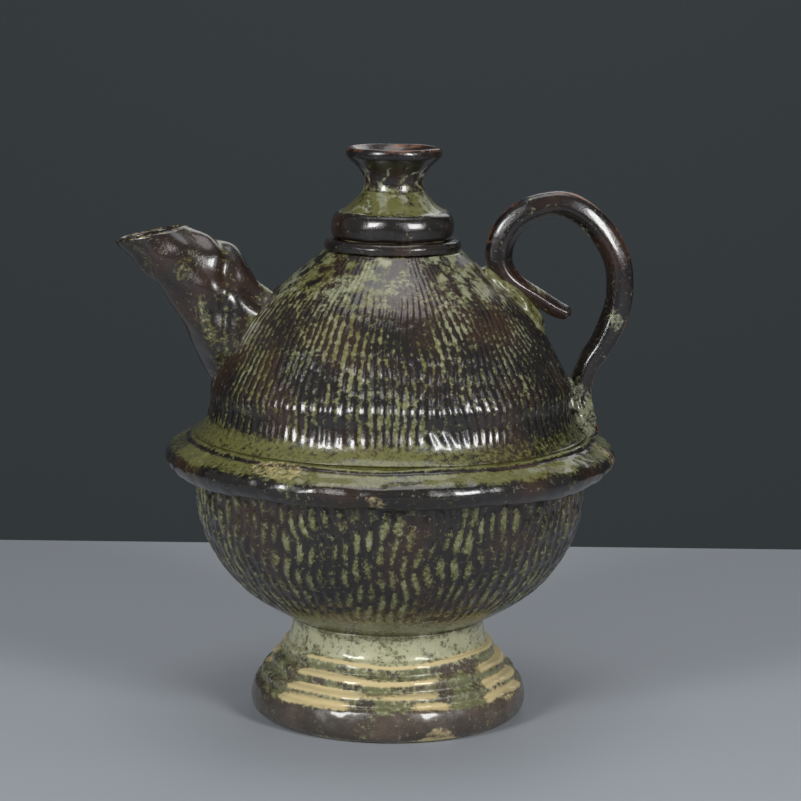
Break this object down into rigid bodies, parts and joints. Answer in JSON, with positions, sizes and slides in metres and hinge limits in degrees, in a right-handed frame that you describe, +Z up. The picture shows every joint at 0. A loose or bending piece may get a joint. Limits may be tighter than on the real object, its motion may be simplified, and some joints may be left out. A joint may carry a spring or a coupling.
{
  "type": "footed ceramic teapot",
  "caption": "Round glazed stoneware teapot on a ridged pedestal foot, with a thick waist ring, squeezed spout, looped coil handle and a loose lid with a flared knob.",
  "frame": {"origin": "middle of the base of the whole teapot's box, on the table plane; the pot's own axis is 7.3 mm from it along +X", "axes": "+Z up along the pot's axis, +X from the spout towards the handle, +Y away from the viewer of the picture"},
  "size_m": [0.2086, 0.1828, 0.2302],
  "materials": {
    "dark_glaze": "glossy near-black brown glaze",
    "olive_glaze": "glossy mottled olive glaze over a dark chattered texture",
    "ash_glaze": "satin crackled grey-green ash glaze with bare clay bands",
    "red_glaze": "glossy reddish-brown glaze"
  },
  "bodies": {
    "pot": {"foot": "ash_glaze", "bowl": "olive_glaze", "waist_ring": "dark_glaze", "dome": "olive_glaze", "neck_collar": "dark_glaze", "spout": "dark_glaze", "handle": "red_glaze", "handle_upper_wad": "olive_glaze", "handle_lower_wad": "ash_glaze"},
    "lid": {"lid_cap": "dark_glaze", "lid_spigot": "dark_glaze", "lid_knob": "red_glaze"}
  },
  "joints": [
    {"name": "lid_lift", "type": "slide", "parent": "pot", "child": "lid", "axis": [0, 0, 1], "range_m": [0, 0.07]}
  ]
}
